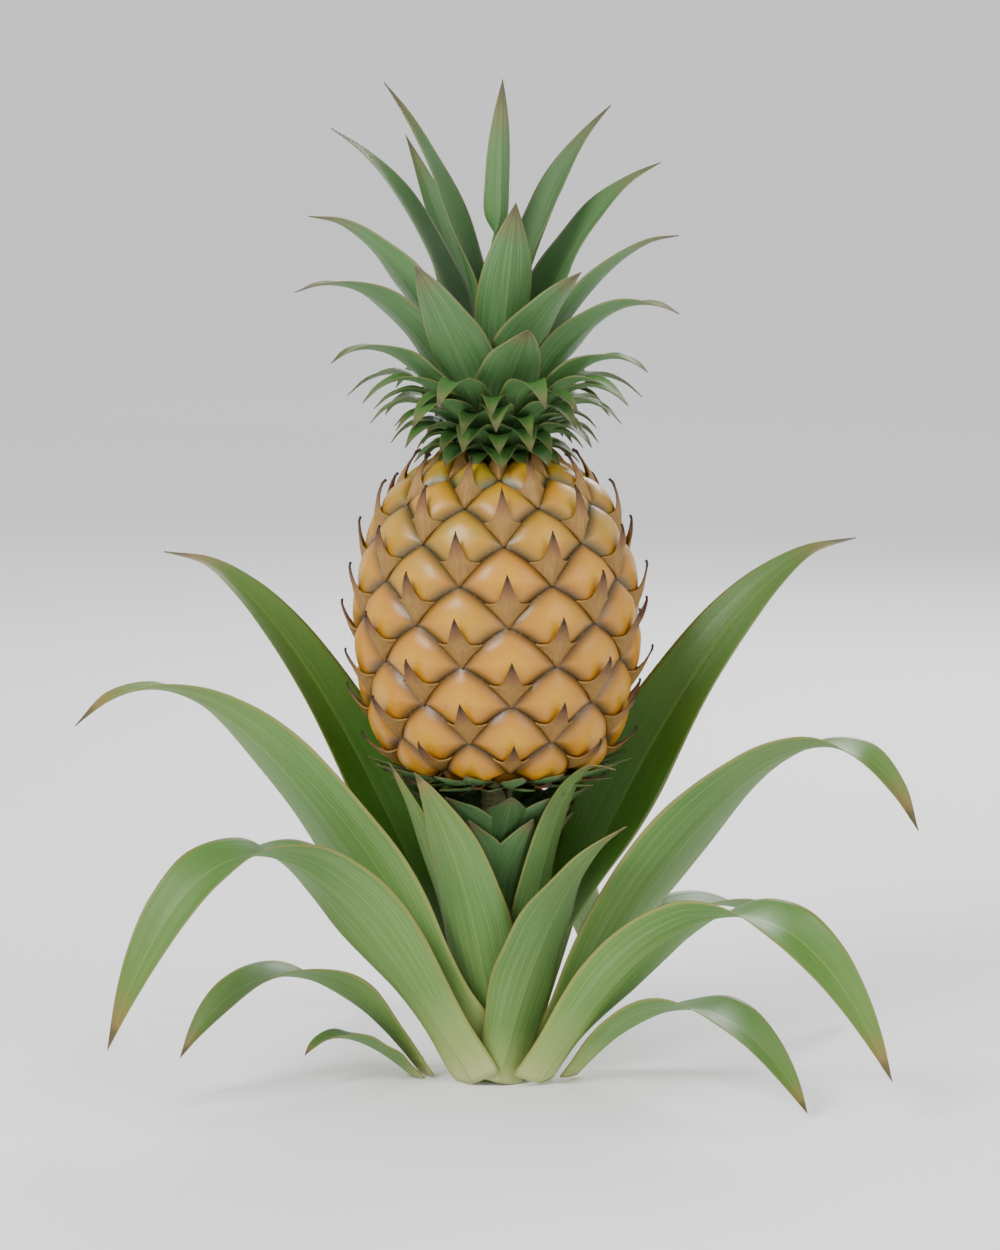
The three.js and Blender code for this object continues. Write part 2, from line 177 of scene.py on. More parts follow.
def leaf_material(name, length_colours, patch, streak, rib, margin, roughness, coat):
    """length_colours run from foot to tip; patch, streak, rib and margin are laid over them."""
    material, tree, shader = start_material(name, roughness, Coat_Weight=coat, Coat_Roughness=0.35)
    leaf_map = add_node(tree, "ShaderNodeUVMap", {"uv_map": LEAF_MAP}).outputs["UV"]
    places = add_node(tree, "ShaderNodeSeparateXYZ", Vector=leaf_map)
    across, along = places.outputs["X"], places.outputs["Y"]

    # Colour along the leaf. A slow noise lets each colour end unevenly.
    wander = stretched_noise(tree, leaf_map, (9.0, 2.0, 1.0))
    shifted = add_node(tree, "ShaderNodeMath", {"operation": "MULTIPLY_ADD"})
    tree.links.new(wander, shifted.inputs[0])
    shifted.inputs[1].default_value = 0.06
    tree.links.new(along, shifted.inputs[2])
    colour = colour_ramp(tree, shifted.outputs[0], length_colours)

    # Broad patches of shade, then fine streaks along the leaf.
    space = add_node(tree, "ShaderNodeTexCoord").outputs["Object"]
    patches = stretched_noise(tree, space, (14.0, 14.0, 9.0), 3.0)
    patch_amount = colour_ramp(tree, patches, [(0.42, grey(0.0)), (0.68, grey(0.55))])
    colour = blend_colours(tree, patch_amount, colour, patch, "MULTIPLY")
    streaks = stretched_noise(tree, leaf_map, (46.0, 1.6, 1.0), 6.0)
    streak_amount = colour_ramp(tree, streaks, [(0.45, grey(0.0)), (0.72, grey(0.6))])
    colour = blend_colours(tree, streak_amount, colour, streak)

    # The midrib and the margins, by distance from the middle of the leaf.
    off_centre = add_node(tree, "ShaderNodeMath", {"operation": "SUBTRACT"})
    tree.links.new(across, off_centre.inputs[0])
    off_centre.inputs[1].default_value = 0.5
    from_rib = add_node(tree, "ShaderNodeMath", {"operation": "ABSOLUTE"})
    tree.links.new(off_centre.outputs[0], from_rib.inputs[0])
    rib_amount = colour_ramp(tree, from_rib.outputs[0], [(0.0, grey(0.55)), (0.05, grey(0.0))])
    colour = blend_colours(tree, rib_amount, colour, rib)
    margin_amount = colour_ramp(tree, from_rib.outputs[0], [(0.455, grey(0.0)), (0.49, grey(0.7))])
    colour = blend_colours(tree, margin_amount, colour, margin)

    # Each leaf's own tint, and fine veins as a bump.
    tint = add_node(tree, "ShaderNodeAttribute", {"attribute_name": "tint"}).outputs["Fac"]
    shade = add_node(tree, "ShaderNodeHueSaturation", Hue=0.5, Value=tint, Color=colour)
    tree.links.new(shade.outputs["Color"], shader.inputs["Base Color"])

    veins = stretched_noise(tree, leaf_map, (120.0, 1.2, 1.0), 2.0)
    roughen(tree, shader, veins, 0.55, 0.0009)
    return material


CREAM = (0.56, 0.54, 0.26, 1.0)
DRY_TIP = (0.085, 0.036, 0.014, 1.0)
leaf_upper = leaf_material(
    "waxy leaf, upper face",
    [(0.02, CREAM), (0.09, (0.27, 0.36, 0.08, 1.0)), (0.22, (0.085, 0.205, 0.022, 1.0)),
     (0.60, (0.050, 0.150, 0.014, 1.0)), (0.92, (0.095, 0.180, 0.020, 1.0)),
     (0.985, (0.24, 0.13, 0.03, 1.0)), (1.0, DRY_TIP)],
    patch=(0.66, 0.84, 0.52, 1.0), streak=(0.105, 0.225, 0.030, 1.0), rib=(0.17, 0.30, 0.05, 1.0),
    margin=(0.23, 0.20, 0.04, 1.0), roughness=0.40, coat=0.15,
)
leaf_under = leaf_material(
    "scurfy leaf, under face",
    [(0.02, CREAM), (0.09, (0.33, 0.40, 0.11, 1.0)), (0.22, (0.120, 0.235, 0.040, 1.0)),
     (0.60, (0.080, 0.190, 0.034, 1.0)), (0.92, (0.120, 0.200, 0.035, 1.0)),
     (0.985, (0.25, 0.14, 0.04, 1.0)), (1.0, DRY_TIP)],
    patch=(0.72, 0.86, 0.62, 1.0), streak=(0.220, 0.320, 0.130, 1.0), rib=(0.19, 0.31, 0.08, 1.0),
    margin=(0.24, 0.21, 0.05, 1.0), roughness=0.55, coat=0.0,
)
crown_upper = leaf_material(
    "waxy crown leaf, upper face",
    [(0.0, (0.30, 0.37, 0.10, 1.0)), (0.16, (0.090, 0.205, 0.034, 1.0)),
     (0.45, (0.040, 0.130, 0.024, 1.0)), (0.84, (0.050, 0.140, 0.024, 1.0)),
     (0.94, (0.125, 0.115, 0.028, 1.0)), (1.0, DRY_TIP)],
    patch=(0.60, 0.82, 0.60, 1.0), streak=(0.080, 0.190, 0.050, 1.0), rib=(0.12, 0.24, 0.05, 1.0),
    margin=(0.19, 0.16, 0.04, 1.0), roughness=0.38, coat=0.15,
)
crown_under = leaf_material(
    "scurfy crown leaf, under face",
    [(0.0, (0.34, 0.40, 0.14, 1.0)), (0.16, (0.125, 0.245, 0.060, 1.0)),
     (0.45, (0.070, 0.180, 0.046, 1.0)), (0.84, (0.070, 0.170, 0.042, 1.0)),
     (0.94, (0.135, 0.120, 0.034, 1.0)), (1.0, DRY_TIP)],
    patch=(0.70, 0.85, 0.70, 1.0), streak=(0.200, 0.310, 0.165, 1.0), rib=(0.16, 0.28, 0.09, 1.0),
    margin=(0.20, 0.18, 0.06, 1.0), roughness=0.52, coat=0.0,
)
print("leaf finishes:", [finish.name for finish in (leaf_upper, leaf_under, crown_upper, crown_under)])

# %% [markdown]
# ## Reading a blade
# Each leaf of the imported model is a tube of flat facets: rings of corners from foot to tip, closed
# by one tip corner. To lay a finer leaf on it, the script needs its midrib, its width and how deep
# it is channelled. A copy of the mesh is welded, and a walk along its edges away from the tip
# meets one ring of corners at each step. In a ring, the two corners that are furthest apart are
# the leaf's edges, and the two that are equally far from both lie on the midrib.

# %% Reading a blade
WELD = 1e-5
SURE_RINGS = 4  # rings that have to match before a corner counts as a tip
TIP_SHARE = 0.02  # a leaf's width at its very tip, as a share of the last ring's


def welded_copy(node):
    shape = bmesh.new()
    shape.from_mesh(frame["nodes"][node].data)
    bmesh.ops.remove_doubles(shape, verts=shape.verts, dist=WELD)
    shape.verts.index_update()
    return shape


def rings_from(start):
    """Walks a mesh away from some corners; each step's new corners are one ring."""
    seen, ring, rings = set(start), list(start), []
    while ring:
        rings.append([corner.co.copy() for corner in ring])
        reached = {edge.other_vert(corner) for corner in ring for edge in corner.link_edges}
        ring = sorted(reached - seen, key=lambda corner: corner.index)
        seen.update(ring)
    return rings


def is_point(corner):
    """Whether all of a corner's edges run back the same way, as they do at a leaf's tip."""
    ways = [(edge.other_vert(corner).co - corner.co).normalized() for edge in corner.link_edges]
    return all(one.dot(other) > 0 for one, other in combinations(ways, 2))


def blades_in(node, corners):
    """The rings of every pointed blade in a node, each blade from its tip to its foot."""
    shape = welded_copy(node)
    blades = []
    for corner in shape.verts:
        if len(corner.link_edges) == corners and is_point(corner):
            rings = rings_from([corner])
            if all(len(ring) == corners for ring in rings[1:1 + SURE_RINGS]):
                odd = [k for k, ring in enumerate(rings) if k and len(ring) != corners]
                blades.append(rings[:odd[0]] if odd else rings)
    shape.free()
    return blades


def rings_below(node, ring):
    """The rings of a blade's lower half, from the one that meets the ring given to the foot."""
    shape = welded_copy(node)
    nearest = sorted(shape.verts, key=lambda corner: min((corner.co - other).length for other in ring))
    rings = rings_from(nearest[:len(ring)])
    shape.free()
    return rings


def measure_ring(ring, ahead):
    """A ring's midrib point, its half width as a vector, and the lift from midrib to edges."""
    left, right = max(combinations(ring, 2), key=lambda pair: (pair[0] - pair[1]).length)
    inner = [corner for corner in ring if corner is not left and corner is not right]
    inner.sort(key=lambda corner: abs((corner - left).length - (corner - right).length))
    rib = (inner[0] + inner[1]) / 2
    half = (right - left) / 2
    lift = (left + right) / 2 - rib
    if half.dot(ahead.cross(lift)) < 0:
        half = -half
    return rib, half, lift


def leaf_stations(rings):
    """Midrib, half width and lift at each ring from foot to tip, with a closing one at the tip."""
    ordered = rings[::-1]
    centres = [sum(ring, Vector()) / len(ring) for ring in ordered]
    stations = []
    for k, ring in enumerate(ordered[:-1]):
        stations.append(measure_ring(ring, (centres[k + 1] - centres[k]).normalized()))
    last = stations[-1]
    stations.append((centres[-1], last[1] * TIP_SHARE, last[2] * TIP_SHARE))
    return stations


sample = leaf_stations(blades_in("crown_centre", 4)[0])
print("stations on the crown's centre leaf:", len(sample))

# %% [markdown]
# ## Shaping a leaf
# A leaf could be a curve with a bevel, but a curve can't fold into a channel that opens and closes.
# Here a flat grid is laid over the measured stations: one way across the leaf, the other from foot
# to tip. Between stations a smooth curve runs through the measured values. Then the grid is
# doubled, the copy is pushed down by the leaf's thickness, and the two rims are bridged, so that
# the leaf is a closed body with a real edge, thick along its keel and thin at its margins.

# %% Shaping a leaf
ACROSS = 20  # cells across a leaf
MIDDLE_CROWDING = 1.2  # over 1, the cells crowd towards the midrib
KEEL_THICKNESS = 0.0021
MARGIN_THICKNESS = 0.0009
TIP_THICKNESS = 0.40  # a leaf's thickness at its tip and foot, as shares of its full thickness
FOOT_THICKNESS = 1.05
CHANNEL_POWER = 1.7  # how the channel's wall steepens from the midrib to the edge
RIB_GROOVE = 0.0006
RIB_SHARE = 0.07  # of the half width
RIPPLE = 0.05  # of the half width
TINTS = (0.86, 1.12)
FLATTEST_ROOT = -0.2  # a leaf whose line falls less steeply than this isn't carried down
SHORTEST_ROOT = 0.001
GROUND_CLEARANCE = 0.0003


def smooth_through(lengths, values, at):
    """Values at some lengths along a leaf, on a smooth curve through the measured ones."""
    slopes = np.gradient(values, lengths, axis=0)
    k = np.clip(np.searchsorted(lengths, at) - 1, 0, len(lengths) - 2)
    step = (lengths[k + 1] - lengths[k])[:, None]
    w = (at - lengths[k])[:, None] / step
    start = (2 * w**3 - 3 * w**2 + 1) * values[k] + (w**3 - 2 * w**2 + w) * slopes[k] * step
    return start + (3 * w**2 - 2 * w**3) * values[k + 1] + (w**3 - w**2) * slopes[k + 1] * step


def rooted(stations, root_height):
    """Stations with one more before the foot, where the leaf's line comes down to root_height."""
    rib, half, lift = stations[0]
    back = (rib - stations[1][0]).normalized()
    drop = rib.z - root_height
    if back.z > FLATTEST_ROOT or drop < SHORTEST_ROOT:
        return stations
    return [(rib + back * (drop / -back.z), half, lift)] + stations


def skin_leaf(body, stations, steps, scale=1.0):
    """Adds one closed leaf to a bmesh. Material 0 is its upper face and 1 its under face."""
    leaf_map = body.loops.layers.uv.verify()
    tint_layer = body.verts.layers.float.get("tint") or body.verts.layers.float.new("tint")
    table = np.array([[*rib, *half, *lift] for rib, half, lift in stations])
    gaps = np.linalg.norm(np.diff(table[:, :3], axis=0), axis=1)
    lengths = np.concatenate([[0.0], np.cumsum(gaps)])
    before = set(body.faces)
    grid = bmesh.ops.create_grid(body, x_segments=ACROSS, y_segments=steps, size=1.0)["verts"]
    upper = [face for face in body.faces if face not in before]
    flat = np.array([corner.co[:2] for corner in grid])
    across = np.sign(flat[:, 0]) * np.abs(flat[:, 0]) ** MIDDLE_CROWDING
    along = (flat[:, 1] + 1) / 2
    for face in upper:
        face.smooth = True
        for loop in face.loops:
            loop[leaf_map].uv = ((loop.vert.co.x + 1) / 2, (loop.vert.co.y + 1) / 2)
    sampled = smooth_through(lengths, table, along * lengths[-1])
    rib, half, lift = sampled[:, :3], sampled[:, 3:6], sampled[:, 6:]
    width = np.linalg.norm(half, axis=1)
    phase = random.uniform(0, 6.28)
    waves = random.uniform(5, 8)
    swing = np.sin(waves * along * 3.14 + phase) * np.minimum(1, 4 * along)
    ripple = RIPPLE * width * across**3 * swing
    side = half / width[:, None]
    ahead = np.gradient(table[:, :3], lengths, axis=0)
    ahead = smooth_through(lengths, ahead, along * lengths[-1])
    out = np.cross(side, ahead)
    out /= np.linalg.norm(out, axis=1)[:, None]
    groove = -RIB_GROOVE * scale * np.exp(-((across / RIB_SHARE) ** 2)) * (1 - along)
    place = rib + half * across[:, None] + lift * (np.abs(across) ** CHANNEL_POWER)[:, None]
    place += out * (ripple + groove)[:, None]
    depth = MARGIN_THICKNESS + (KEEL_THICKNESS - MARGIN_THICKNESS) * (1 - np.abs(across)) ** 0.8
    depth *= scale * (FOOT_THICKNESS + (TIP_THICKNESS - FOOT_THICKNESS) * along)
    for corner, spot in zip(grid, place):
        corner.co = spot
    copied = bmesh.ops.duplicate(body, geom=grid + upper)
    twins = [item for item in copied["geom"] if isinstance(item, bmesh.types.BMVert)]
    under = [item for item in copied["geom"] if isinstance(item, bmesh.types.BMFace)]
    for corner, offset in zip(twins, out * depth[:, None]):
        corner.co -= Vector(offset)
    bmesh.ops.reverse_faces(body, faces=under)
    for face in under:
        face.material_index = 1
    rims = {edge for face in upper + under for edge in face.edges if edge.is_boundary}
    walls = bmesh.ops.bridge_loops(body, edges=sorted(rims, key=lambda edge: edge.index))["faces"]
    known = {loop.vert: loop[leaf_map].uv.copy() for face in upper + under for loop in face.loops}
    for face in walls:
        face.smooth = True
        for loop in face.loops:
            loop[leaf_map].uv = known[loop.vert]
    tint = random.uniform(*TINTS)
    for corner in grid + twins:
        corner[tint_layer] = tint
        corner.co.z = max(corner.co.z, GROUND_CLEARANCE)
    return float(lengths[-1])


def finish_piece(name, body, materials, replaced):
    """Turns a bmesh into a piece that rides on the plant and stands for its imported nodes."""
    mesh = bpy.data.meshes.new(name)
    body.to_mesh(mesh)
    body.free()
    piece = bpy.data.objects.new(name, mesh)
    bpy.context.scene.collection.objects.link(piece)
    for material in materials:
        mesh.materials.append(material)
    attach(piece, "root")
    if replaced:
        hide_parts(*replaced)
    return piece


def leaf_body():
    body = bmesh.new()
    body.loops.layers.uv.new(LEAF_MAP)
    return body


# %% [markdown]
# ## The rosette
# The outer leaves arch over and the inner ones stand up. A long leaf is two solids in the packed
# model, split where it bends, and one leaf here. On the plant a leaf's foot clasps the stem, so
# each one is carried on down along its own line to the ground or into the stem.

# %% The rosette
LEAF_CORNERS = 8
LEAF_STEPS = 84
SOIL_LINE = 0.0025

pieces = []
leaf_names = sorted({
    node.removesuffix("_lower").removesuffix("_upper")
    for node in frame["nodes"] if node.startswith("leaf_")
})
for leaf in leaf_names:
    split = leaf + "_upper" in frame["nodes"]
    nodes = [leaf + "_lower", leaf + "_upper"] if split else [leaf]
    rings = blades_in(nodes[-1], LEAF_CORNERS)[0]
    if split:
        rings += rings_below(leaf + "_lower", rings[-1])[1:]
    body = leaf_body()
    skin_leaf(body, rooted(leaf_stations(rings), SOIL_LINE), LEAF_STEPS)
    pieces.append(finish_piece(leaf + "_blade", body, [leaf_upper, leaf_under], nodes))
print("rosette leaves:", len(pieces), "with", len(pieces[0].data.polygons), "faces each")

# %% [markdown]
# ## The crown
# The crown's leaves are made in the same way, on four-cornered rings, and are thinner. Under them
# sit four skirts of small curled leaves, nine to a ring. In each skirt a second, shorter set grows
# between the first, because a real crown has no gaps there.

# %% The crown
CROWN_CORNERS = 4
CROWN_STEPS = 60
CROWN_SCALE = 0.75  # thickness of a crown leaf, as a share of a rosette leaf's
SKIRT_STEPS = 26
SKIRT_SCALE = 0.6
ROOT_DEPTH = 0.006
crown_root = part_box("crown_stem")[0].z - ROOT_DEPTH

crown_names = sorted(
    node for node in frame["nodes"]
    if node.startswith("crown_") and not node.startswith(("crown_stem", "crown_skirt", "crown_collar"))
)
for leaf in crown_names:
    body = leaf_body()
    stations = rooted(leaf_stations(blades_in(leaf, CROWN_CORNERS)[0]), crown_root)
    skin_leaf(body, stations, CROWN_STEPS, scale=CROWN_SCALE)
    pieces.append(finish_piece(leaf + "_blade", body, [crown_upper, crown_under], [leaf]))
print("crown leaves:", len(crown_names))


def turned(stations, angle, shrink, drop):
    """The same leaf turned about the plant's axis, and drawn in towards its own foot."""
    turn = Matrix.Rotation(angle, 3, "Z")
    foot = stations[0][0]
    result = []
    for rib, half, lift in stations:
        spot = foot + (rib - foot) * shrink - Vector((0.0, 0.0, drop))
        result.append((turn @ spot, turn @ (half * shrink), turn @ (lift * shrink)))
    return result


BETWEEN = math.radians(20)  # from a skirt's leaf to the next one of its second set
INTO_HUB = 0.012
BELOW_HUB = 0.004
JITTER = 0.05
FIRST_SET = (0.95, 1.04)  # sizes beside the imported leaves
SECOND_SET = (0.74, 0.86)
SECOND_SET_DROP = 0.001
for skirt in ["crown_collar", "crown_skirt_1", "crown_skirt_2", "crown_skirt_3"]:
    body = leaf_body()
    for rings in blades_in(skirt, CROWN_CORNERS):
        stations = leaf_stations(rings)
        foot, half, lift = stations[0]
        inward = Vector((-foot.x, -foot.y, 0.0)).normalized() * INTO_HUB
        stations.insert(0, (foot + inward - Vector((0.0, 0.0, BELOW_HUB)), half, lift))
        jitter = random.uniform(-JITTER, JITTER)
        first = turned(stations, jitter, random.uniform(*FIRST_SET), 0.0)
        skin_leaf(body, first, SKIRT_STEPS, SKIRT_SCALE)
        second = turned(stations, BETWEEN + jitter, random.uniform(*SECOND_SET), SECOND_SET_DROP)
        skin_leaf(body, second, SKIRT_STEPS, SKIRT_SCALE)
    pieces.append(finish_piece(skirt + "_leaves", body, [crown_upper, crown_under], [skirt]))
print("skirts of small leaves done; pieces so far:", len(pieces))

# %% [markdown]
# ## The fruit's outline
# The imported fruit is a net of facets: walking down from its top corner gives one ring of corners
# for each quarter of an eye's height. The rings give the outline, and the corners that stand out
# in them are the middles of the eyes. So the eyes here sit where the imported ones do.

# %% The fruit's outline
EYES_PER_TURN = 9
EYE_RINGS = 4  # rings from the top corner of an eye to its bottom corner
HIGH_EYES = 2  # two rings that hold middles of eyes
LOW_EYES = 18
STANDS_OUT = 0.001

fruit_shape = welded_copy("fruit")
fruit_low, fruit_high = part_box("fruit")
top_corner = max(fruit_shape.verts, key=lambda v: v.co.z - 10 * v.co.xy.length)
fruit_rings = [ring for ring in rings_from([top_corner]) if len(ring) == 2 * EYES_PER_TURN]
fruit_shape.free()


def radius_of(corner):
    return math.hypot(corner.x, corner.y)


def bearing_of(corner):
    return math.atan2(corner.y, corner.x)


outline = []
eye_middles = []
for k, ring in enumerate(fruit_rings):
    by_radius = sorted(ring, key=radius_of)
    resting = by_radius[:EYES_PER_TURN]
    proud = by_radius[EYES_PER_TURN:]
    radius = sum(map(radius_of, resting)) / EYES_PER_TURN
    outline.append((radius, sum(v.z for v in resting) / EYES_PER_TURN))
    between = k % 2 == 0 and 0 < k < len(fruit_rings) - 1
    if between or radius_of(proud[0]) - radius_of(resting[-1]) > STANDS_OUT:
        eye_middles += [(k, bearing_of(corner)) for corner in proud]
last_ring = len(fruit_rings) - 1
high_turn = [b for k, b in eye_middles if k == HIGH_EYES]
low_turn = [b for k, b in eye_middles if k == LOW_EYES]
eye_width = 2 * math.pi / EYES_PER_TURN
drift = min((math.remainder(b - high_turn[0], 2 * math.pi) for b in low_turn), key=abs)
twist = drift / (LOW_EYES - HIGH_EYES)  # how far the columns of eyes turn from ring to ring
print("rings:", len(fruit_rings), "eyes:", len(eye_middles))
print("twist in degrees:", round(math.degrees(twist), 3))

# %% [markdown]
# ## Eyes and bracts
# Each eye of a pineapple is one berry with a firm, rounded shield, and the bract that grew under
# the flower still covers its lower part, ending in a dry spike that bends up and outwards. One
# shield and one bract are shaped flat, in the eye's own measure: across, up and out. Then they are
# laid on the fruit ninety times and more. The eyes' sides bulge, and the bulge of one is the hollow
# of the next, so that they still fit together with only a groove between them. The spike is folded
# along its middle, so that it has body when it is seen from the side.

# %% One eye, laid flat
SHIELD_CELLS = 16
BULGE = 0.10
GROOVE_FLOOR = -0.0022  # in metres, as is every height over the outline
SHIELD_TOP = 0.0042
PILLOW_POWER = 4  # how flat the shield's top is

BRACT_CELLS = (20, 9)
BRACT_CROWDING = 1.6  # over 1, the cells crowd towards the spike
BRACT_HALF_WIDTH = 0.52
BRACT_TOP = -0.50
BRACT_LIP = 0.0012
BRACT_GAP = 0.0004  # over the shield
BRACT_THICKNESS = 0.0012
SPIKE_RISE = 0.60
SPIKE_SPREAD = 0.50
SPIKE_POWER = 1.2  # how much the spike's sides curve in
SPIKE_PINCH = 0.2
SPIKE_OUT = 0.0052
SPIKE_HOOK = 1.8  # how late the spike bends outwards
SPIKE_KEEL = 0.0050  # how far a spike's middle stands out from its edges
KEEL_TAPER = 0.45


def eye_spot(s, t):
    """Across and up inside an eye, both from -1 to 1, from the two slanting grid directions."""
    lean_s = BULGE * math.cos(math.pi * s / 2)
    lean_t = BULGE * math.cos(math.pi * t / 2)
    across = (s + t) / 2 + (lean_s - lean_t) / math.sqrt(2)
    up = (t - s) / 2 + (lean_s + lean_t) / math.sqrt(2)
    return across, up


def shield_rise(s, t):
    """How far the shield stands out there: a pillow with a flat top."""
    edge = 1 - max(abs(s), abs(t))
    corner = (1 - abs(s)) * (1 - abs(t))
    pillow = 1 - (1 - (0.45 * edge + 0.55 * corner)) ** PILLOW_POWER
    return GROOVE_FLOOR + (SHIELD_TOP - GROOVE_FLOOR) * pillow


def flat_shield():
    body = bmesh.new()
    groove_layer = body.verts.layers.float.new("from_groove")
    cells = bmesh.ops.create_grid(body, x_segments=SHIELD_CELLS, y_segments=SHIELD_CELLS, size=1.0)
    for corner in cells["verts"]:
        s, t = corner.co.x, corner.co.y
        corner[groove_layer] = 1 - max(abs(s), abs(t))
        corner.co = (*eye_spot(s, t), shield_rise(s, t))
    return body


def flat_bract():
    body = bmesh.new()
    tip_layer = body.verts.layers.float.new("toward_tip")
    cells = bmesh.ops.create_grid(body, x_segments=BRACT_CELLS[0], y_segments=BRACT_CELLS[1], size=1.0)
    for corner in cells["verts"]:
        side = math.copysign(abs(corner.co.x) ** BRACT_CROWDING, corner.co.x)
        rise = (corner.co.y + 1) / 2
        across = BRACT_HALF_WIDTH * side
        bottom = -1 + abs(across)
        near_middle = max(0.0, 1 - abs(side) / SPIKE_SPREAD)
        top = max(BRACT_TOP + SPIKE_RISE * near_middle**SPIKE_POWER, bottom)
        up = bottom + (top - bottom) * rise
        above = max(0.0, up - BRACT_TOP) / SPIKE_RISE
        pinch = 1 - SPIKE_PINCH * above
        s, t = across * pinch - up, across * pinch + up
        s, t = max(-1.0, min(1.0, s)), max(-1.0, min(1.0, t))
        lip = BRACT_LIP * rise**2
        keel = SPIKE_KEEL * near_middle * rise * max(0.0, 1 - above) ** KEEL_TAPER
        out = shield_rise(s, t) + BRACT_GAP + lip + keel + SPIKE_OUT * above**SPIKE_HOOK
        corner[tip_layer] = above
        corner.co = (*eye_spot(s, t), out)
    return body


# The outline goes on past its first and last rings for two more, to near the axis.
END_DOMING = 0.001
top_radius, top_height = outline[0]
foot_radius, foot_height = outline[-1]
high = (top_radius * 0.25, top_height + END_DOMING)
low = (foot_radius * 0.3, foot_height - END_DOMING)
above_top = [high, ((high[0] + top_radius) / 2, top_height)]
below_foot = [((low[0] + foot_radius) / 2, foot_height), low]
full_outline = np.array(above_top + outline + below_foot)
outline_rings = np.arange(-2, last_ring + 3, dtype=float)


def fruit_spot(ring, bearing, out):
    """A point on the fruit from its ring number, its bearing and its distance out."""
    near = np.array([ring, ring - 0.05, ring + 0.05])
    spot = smooth_through(outline_rings, full_outline, near)
    slope = spot[2] - spot[1]
    slope /= np.linalg.norm(slope)
    radius = spot[0][0] - slope[1] * out
    height = spot[0][1] + slope[0] * out
    return Vector((radius * math.cos(bearing), radius * math.sin(bearing), height))


def lay_on_fruit(body, flat, ring, bearing, thickness, layers):
    """Copies a flat eye part on to the fruit, with its middle at that ring and bearing."""
    part = flat.copy()
    for corner in part.verts:
        across, up, out = corner.co
        steps = -up * EYE_RINGS / 2
        angle = bearing + across * eye_width / 2 + steps * twist
        corner.co = fruit_spot(ring + steps, angle, out)
    bmesh.ops.recalc_face_normals(part, faces=part.faces)
    outward = sum(face.normal.dot(face.calc_center_median() - fruit_middle) for face in part.faces)
    if outward < 0:
        bmesh.ops.reverse_faces(part, faces=part.faces)
    if thickness:
        bmesh.ops.solidify(part, geom=part.faces, thickness=-thickness)
    for name, amount in layers.items():
        layer = part.verts.layers.float.new(name)
        for corner in part.verts:
            corner[layer] = amount
    scratch = bpy.data.meshes.new("scratch")
    part.to_mesh(scratch)
    part.free()
    body.from_mesh(scratch)
    bpy.data.meshes.remove(scratch)


fruit_middle = Vector((0.0, 0.0, (fruit_low.z + fruit_high.z) / 2))
shield, bract = flat_shield(), flat_bract()
print("faces in a shield:", len(shield.faces), "and in a bract:", len(bract.faces))

# %% [markdown]
# ## Rind finish
# A ripe pineapple is golden with green still at its shoulders, and each eye turns browner towards
# its groove; the near-black at the groove's floor is painted shade. Where the groove lies is a matter
# of the eye's shape, so the mesh carries it as an attribute, and so is the eye's own ripeness.
# Specks and pores have no fixed place and are noise. A bract darkens towards its tip, and its mesh
# carries the share of the way there.

# %% Rind finish
def rind_material():
    material, tree, shader = start_material("ripe rind", 0.42, Coat_Weight=0.15, Coat_Roughness=0.3)
    groove = add_node(tree, "ShaderNodeAttribute", {"attribute_name": "from_groove"}).outputs["Fac"]
    ripeness = add_node(tree, "ShaderNodeAttribute", {"attribute_name": "ripeness"}).outputs["Fac"]
    space = add_node(tree, "ShaderNodeTexCoord").outputs["Object"]
    mottle = stretched_noise(tree, space, (90.0, 90.0, 90.0), 5.0)
    # Towards the groove both ramps turn browner, and at its floor they go nearly black: painted shade.
    ripe = colour_ramp(tree, groove, [
        (0.0, (0.045, 0.026, 0.006, 1.0)), (0.10, (0.16, 0.072, 0.008, 1.0)),
        (0.30, (0.42, 0.170, 0.005, 1.0)), (0.75, (0.56, 0.255, 0.006, 1.0)),
        (1.0, (0.60, 0.310, 0.012, 1.0)),
    ])
    green = colour_ramp(tree, groove, [
        (0.0, (0.030, 0.040, 0.010, 1.0)), (0.12, (0.085, 0.125, 0.018, 1.0)),
        (0.40, (0.15, 0.20, 0.014, 1.0)), (1.0, (0.30, 0.25, 0.016, 1.0)),
    ])
    unevenly = add_node(tree, "ShaderNodeMath", {"operation": "MULTIPLY_ADD"})
    tree.links.new(mottle, unevenly.inputs[0])
    unevenly.inputs[1].default_value = 0.5
    tree.links.new(ripeness, unevenly.inputs[2])
    amount = colour_ramp(tree, unevenly.outputs[0], [(0.32, grey(0.0)), (0.95, grey(1.0))])
    colour = blend_colours(tree, amount, green, ripe)
    specks = stretched_noise(tree, space, (420.0, 420.0, 420.0), 2.0)
    speck_amount = colour_ramp(tree, specks, [(0.60, grey(0.0)), (0.72, grey(0.55))])
    colour = blend_colours(tree, speck_amount, colour, (0.30, 0.15, 0.04, 1.0))
    tree.links.new(colour, shader.inputs["Base Color"])
    roughen(tree, shader, mottle, 0.35, 0.0012)
    return material


def bract_material(name, foot, middle, tip, roughness=0.62):
    material, tree, shader = start_material(name, roughness)
    toward_tip = add_node(tree, "ShaderNodeAttribute", {"attribute_name": "toward_tip"}).outputs["Fac"]
    space = add_node(tree, "ShaderNodeTexCoord").outputs["Object"]
    fibres = stretched_noise(tree, space, (500.0, 500.0, 60.0), 4.0)
    colour = colour_ramp(tree, toward_tip, [(0.0, foot), (0.35, middle), (0.8, tip)])
    fibre_amount = colour_ramp(tree, fibres, [(0.4, grey(0.0)), (0.7, grey(0.65))])
    colour = blend_colours(tree, fibre_amount, colour, (1.5, 1.45, 1.3, 1.0), "MULTIPLY")
    tree.links.new(colour, shader.inputs["Base Color"])
    roughen(tree, shader, fibres, 0.6, 0.0008)
    return material


